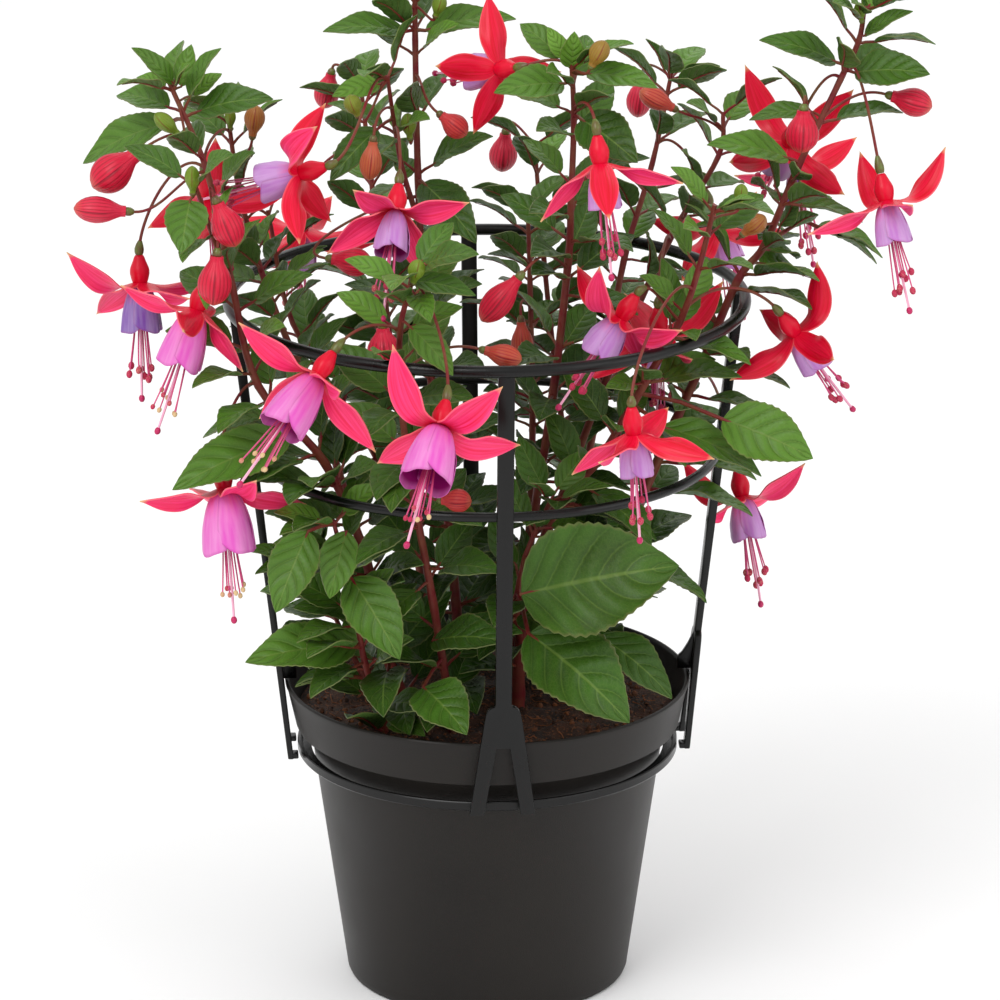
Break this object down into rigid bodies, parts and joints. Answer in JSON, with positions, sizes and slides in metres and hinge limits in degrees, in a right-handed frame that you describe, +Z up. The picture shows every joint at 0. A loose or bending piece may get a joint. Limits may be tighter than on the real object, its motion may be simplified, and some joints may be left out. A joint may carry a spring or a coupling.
{
  "type": "potted fuchsia plant",
  "caption": "Upright bush fuchsia with hanging two-tone flowers in a round nursery pot, held by a clip-on ring cage; stands on its flat base.",
  "frame": {"origin": "middle of the pot's flat underside", "axes": "+Z up along the pot's axis, -Y toward the front, +X to the right seen from the front"},
  "size_m": [0.3557, 0.3208, 0.4395],
  "materials": {
    "pot_plastic": "satin moulded",
    "cage_plastic": "smooth moulded",
    "compost": "crumbly, damp",
    "foliage": "soft sheen with veins",
    "calyx": "waxy",
    "skirt_lavender": "velvety",
    "skirt_violet": "velvety",
    "skirt_purple": "velvety"
  },
  "bodies": {
    "root": {"pot": "pot_plastic", "soil": "compost", "ring_base": "cage_plastic", "ring_mid": "cage_plastic", "ring_top": "cage_plastic", "upright_front": "cage_plastic", "upright_right": "cage_plastic", "upright_back": "cage_plastic", "upright_left": "cage_plastic", "shoot_left_tall": "foliage", "shoot_centre": "foliage", "shoot_front": "foliage", "shoot_upright": "foliage", "shoot_right_front": "foliage", "shoot_right_tall": "foliage", "shoot_low_left": "foliage", "shoot_back_left": "foliage", "shoot_back_right": "foliage", "bloom_01_calyx": "calyx", "bloom_01_corolla": "skirt_lavender", "bloom_02_calyx": "calyx", "bloom_02_corolla": "skirt_lavender", "bloom_03_calyx": "calyx", "bloom_03_corolla": "skirt_lavender", "bloom_04_calyx": "calyx", "bloom_04_corolla": "skirt_lavender", "bloom_05_calyx": "calyx", "bloom_05_corolla": "skirt_lavender", "bloom_06_calyx": "calyx", "bloom_06_corolla": "skirt_lavender", "bloom_07_calyx": "calyx", "bloom_07_corolla": "skirt_lavender", "bloom_08_calyx": "calyx", "bloom_08_corolla": "skirt_lavender", "bloom_09_calyx": "calyx", "bloom_09_corolla": "skirt_violet", "bloom_10_calyx": "calyx", "bloom_10_corolla": "skirt_violet", "bloom_11_calyx": "calyx", "bloom_11_corolla": "skirt_lavender", "bloom_12_calyx": "calyx", "bloom_12_corolla": "skirt_lavender", "bloom_13_calyx": "calyx", "bloom_13_corolla": "skirt_violet", "bloom_14_calyx": "calyx", "bloom_14_corolla": "skirt_violet", "bloom_15_calyx": "calyx", "bloom_15_corolla": "skirt_purple", "bloom_16_calyx": "calyx", "bloom_16_corolla": "skirt_purple", "bloom_17_calyx": "calyx", "bloom_17_corolla": "skirt_lavender", "bloom_18_calyx": "calyx", "bloom_18_corolla": "skirt_lavender", "bloom_19_calyx": "calyx", "bloom_19_corolla": "skirt_lavender", "bloom_20_calyx": "calyx", "bloom_20_corolla": "skirt_lavender"}
  },
  "joints": []
}
